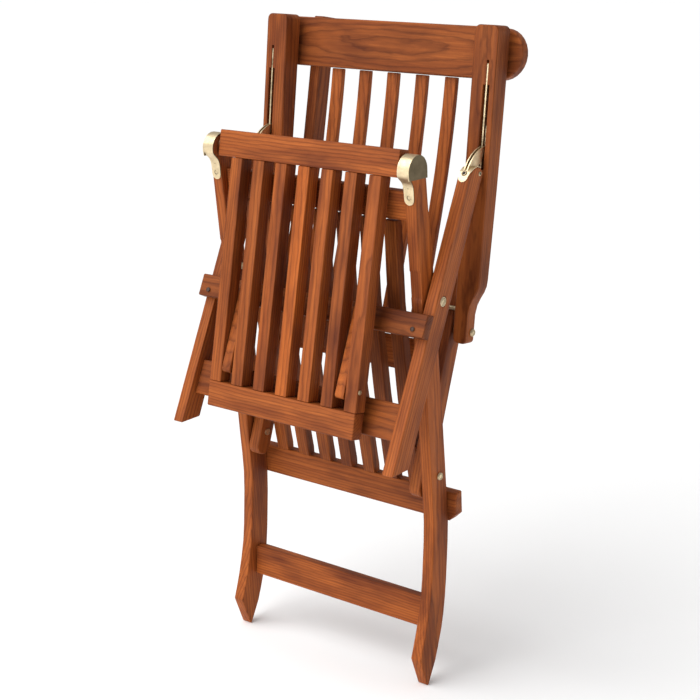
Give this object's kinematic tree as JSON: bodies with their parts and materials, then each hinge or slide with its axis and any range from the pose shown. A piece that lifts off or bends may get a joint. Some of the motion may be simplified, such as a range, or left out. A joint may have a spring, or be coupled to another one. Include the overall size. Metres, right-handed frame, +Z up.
{
  "type": "folding deck chair",
  "caption": "Folding teak deck chair with slatted seat, back and footrest, arms and brass fittings, folded flat.",
  "frame": {"origin": "bottom centre of the folded chair's bounding box, on the floor under the ends of the seat rails", "axes": "+X to the right as seen from the front, which is the side that the names call right, +Y from the footrest side towards the headrest side, +Z up"},
  "size_m": [0.652, 0.4726, 1.3964],
  "materials": {
    "teak_boards": "oiled, satin",
    "teak_slats": "oiled, satin",
    "brass": "polished, slightly dulled"
  },
  "bodies": {
    "seat_frame": {"seat_rail_left": "teak_boards", "seat_rail_right": "teak_boards", "seat_front_rail": "teak_boards", "seat_rear_rail": "teak_boards", "foot_stretcher": "teak_boards", "seat_slat_1": "teak_slats", "seat_slat_2": "teak_slats", "seat_slat_3": "teak_slats", "seat_slat_4": "teak_slats", "seat_slat_5": "teak_slats", "seat_slat_6": "teak_slats", "seat_slat_7": "teak_slats", "footrest_hinge_cap_left": "brass", "footrest_hinge_cap_right": "brass", "footrest_hinge_pin_left": "brass", "footrest_hinge_pin_right": "brass", "leg_pivot_bolt_left": "brass", "leg_pivot_bolt_right": "brass", "back_pivot_bolt_left": "brass", "back_pivot_bolt_right": "brass"},
    "front_legs": {"front_leg_left": "teak_boards", "front_leg_right": "teak_boards", "upper_leg_stretcher": "teak_boards", "lower_leg_stretcher": "teak_boards", "leg_shoe_left": "brass", "leg_shoe_right": "brass"},
    "back": {"back_stile_left": "teak_boards", "back_stile_right": "teak_boards", "headrest_board": "teak_boards", "back_bottom_rail": "teak_boards", "back_slat_1": "teak_slats", "back_slat_2": "teak_slats", "back_slat_3": "teak_slats", "back_slat_4": "teak_slats", "back_slat_5": "teak_slats", "arm_pivot_bolt_left": "brass", "arm_pivot_bolt_right": "brass"},
    "left_arm": {"arm_left": "teak_boards", "arm_track_left": "brass", "arm_stop_pin_left": "brass"},
    "right_arm": {"arm_right": "teak_boards", "arm_track_right": "brass", "arm_stop_pin_right": "brass"},
    "footrest": {"footrest_top_rail": "teak_boards", "footrest_bottom_rail": "teak_boards", "footrest_stile_left": "teak_boards", "footrest_stile_right": "teak_boards", "footrest_slat_1": "teak_slats", "footrest_slat_2": "teak_slats", "footrest_slat_3": "teak_slats", "footrest_slat_4": "teak_slats", "footrest_slat_5": "teak_slats", "footrest_leg_pin_left": "brass", "footrest_leg_pin_right": "brass"},
    "left_footrest_leg": {"footrest_leg_left": "teak_boards"},
    "right_footrest_leg": {"footrest_leg_right": "teak_boards"}
  },
  "joints": [
    {"name": "front_legs_fold", "type": "hinge", "parent": "seat_frame", "child": "front_legs", "pos_m": [0, -0.0651, 0.8635], "axis": [1, 0, 0], "range_deg": [-67.4, 0]},
    {"name": "back_fold", "type": "hinge", "parent": "seat_frame", "child": "back", "pos_m": [0, -0.0231, 0.473], "axis": [1, 0, 0], "range_deg": [-84.4, 0]},
    {"name": "left_arm_fold", "type": "hinge", "parent": "back", "child": "left_arm", "pos_m": [0, 0.0709, 0.7668], "axis": [1, 0, 0], "range_deg": [0, 90.6]},
    {"name": "right_arm_fold", "type": "hinge", "parent": "back", "child": "right_arm", "pos_m": [0, 0.0709, 0.7668], "axis": [1, 0, 0], "range_deg": [0, 90.6]},
    {"name": "footrest_fold", "type": "hinge", "parent": "seat_frame", "child": "footrest", "pos_m": [0, -0.1196, 1.1415], "axis": [1, 0, 0], "range_deg": [-138.6, 0]},
    {"name": "left_footrest_leg_fold", "type": "hinge", "parent": "footrest", "child": "left_footrest_leg", "pos_m": [0, -0.2098, 0.6899], "axis": [1, 0, 0], "range_deg": [-87, 0]},
    {"name": "right_footrest_leg_fold", "type": "hinge", "parent": "footrest", "child": "right_footrest_leg", "pos_m": [0, -0.2098, 0.6899], "axis": [1, 0, 0], "range_deg": [-87, 0]}
  ],
  "couplings": [
    {"joint": "back_fold", "follows": "front_legs_fold", "ratio": 1.2507},
    {"joint": "left_arm_fold", "follows": "front_legs_fold", "ratio": -1.3421},
    {"joint": "right_arm_fold", "follows": "front_legs_fold", "ratio": -1.3421},
    {"joint": "footrest_fold", "follows": "front_legs_fold", "ratio": 2.0534},
    {"joint": "left_footrest_leg_fold", "follows": "front_legs_fold", "ratio": 1.2875},
    {"joint": "right_footrest_leg_fold", "follows": "front_legs_fold", "ratio": 1.2875}
  ]
}
